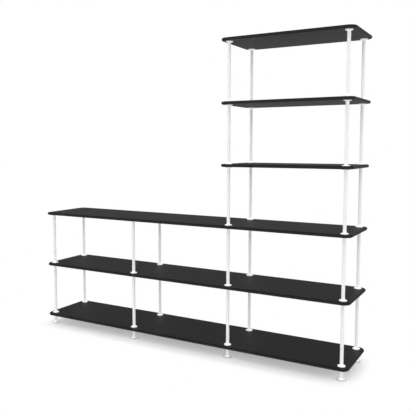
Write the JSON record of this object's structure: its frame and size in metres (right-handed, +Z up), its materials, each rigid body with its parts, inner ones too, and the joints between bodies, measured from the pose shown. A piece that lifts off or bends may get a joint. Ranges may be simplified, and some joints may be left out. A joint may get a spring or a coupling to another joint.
{
  "type": "shelving unit",
  "caption": "Open shelving unit of thin round-cornered black boards on white tube posts with disc collars, low and long with a tower over one end, on levelling feet.",
  "frame": {"origin": "on the floor, under the middle of the unit's outline", "axes": "+X to the right seen from the front, with the tower at the +X end; +Y to the back; +Z up"},
  "size_m": [2.038, 0.384, 1.786],
  "materials": {
    "board_lacquer": "satin black lacquer on fibreboard",
    "white_coat": "satin white powder coat on steel",
    "zinc_steel": "zinc plated threads",
    "bush_brass": "plain turned"
  },
  "bodies": {
    "frame": {"long_shelf_1": "board_lacquer", "long_shelf_2": "board_lacquer", "long_shelf_3": "board_lacquer", "tower_shelf_1": "board_lacquer", "tower_shelf_2": "board_lacquer", "tower_shelf_3": "board_lacquer", "collars_long_shelf_1": "white_coat", "collars_long_shelf_2": "white_coat", "collars_long_shelf_3": "white_coat", "collars_tower_shelf_1": "white_coat", "collars_tower_shelf_2": "white_coat", "collars_tower_shelf_3": "white_coat", "tube_1_front_a": "white_coat", "tube_2_front_a": "white_coat", "tube_1_front_b": "white_coat", "tube_2_front_b": "white_coat", "tube_1_front_c": "white_coat", "tube_2_front_c": "white_coat", "tube_3_front_c": "white_coat", "tube_4_front_c": "white_coat", "tube_5_front_c": "white_coat", "tube_1_front_d": "white_coat", "tube_2_front_d": "white_coat", "tube_3_front_d": "white_coat", "tube_4_front_d": "white_coat", "tube_5_front_d": "white_coat", "tube_1_back_a": "white_coat", "tube_2_back_a": "white_coat", "tube_1_back_b": "white_coat", "tube_2_back_b": "white_coat", "tube_1_back_c": "white_coat", "tube_2_back_c": "white_coat", "tube_3_back_c": "white_coat", "tube_4_back_c": "white_coat", "tube_5_back_c": "white_coat", "tube_1_back_d": "white_coat", "tube_2_back_d": "white_coat", "tube_3_back_d": "white_coat", "tube_4_back_d": "white_coat", "tube_5_back_d": "white_coat", "foot_stem_front_a": "white_coat", "foot_stem_front_b": "white_coat", "foot_stem_front_c": "white_coat", "foot_stem_front_d": "white_coat", "foot_stem_back_a": "white_coat", "foot_stem_back_b": "white_coat", "foot_stem_back_c": "white_coat", "foot_stem_back_d": "white_coat", "joining_nipples": "zinc_steel", "top_nipples": "zinc_steel", "threaded_bushes": "bush_brass"},
    "glide_front_a": {"foot_glide_front_a": "white_coat"},
    "glide_front_b": {"foot_glide_front_b": "white_coat"},
    "glide_front_c": {"foot_glide_front_c": "white_coat"},
    "glide_front_d": {"foot_glide_front_d": "white_coat"},
    "glide_back_a": {"foot_glide_back_a": "white_coat"},
    "glide_back_b": {"foot_glide_back_b": "white_coat"},
    "glide_back_c": {"foot_glide_back_c": "white_coat"},
    "glide_back_d": {"foot_glide_back_d": "white_coat"}
  },
  "joints": [
    {"name": "level_front_a", "type": "slide", "parent": "frame", "child": "glide_front_a", "axis": [0, 0, -1], "range_m": [0, 0.01]},
    {"name": "level_front_b", "type": "slide", "parent": "frame", "child": "glide_front_b", "axis": [0, 0, -1], "range_m": [0, 0.01]},
    {"name": "level_front_c", "type": "slide", "parent": "frame", "child": "glide_front_c", "axis": [0, 0, -1], "range_m": [0, 0.01]},
    {"name": "level_front_d", "type": "slide", "parent": "frame", "child": "glide_front_d", "axis": [0, 0, -1], "range_m": [0, 0.01]},
    {"name": "level_back_a", "type": "slide", "parent": "frame", "child": "glide_back_a", "axis": [0, 0, -1], "range_m": [0, 0.01]},
    {"name": "level_back_b", "type": "slide", "parent": "frame", "child": "glide_back_b", "axis": [0, 0, -1], "range_m": [0, 0.01]},
    {"name": "level_back_c", "type": "slide", "parent": "frame", "child": "glide_back_c", "axis": [0, 0, -1], "range_m": [0, 0.01]},
    {"name": "level_back_d", "type": "slide", "parent": "frame", "child": "glide_back_d", "axis": [0, 0, -1], "range_m": [0, 0.01]}
  ]
}
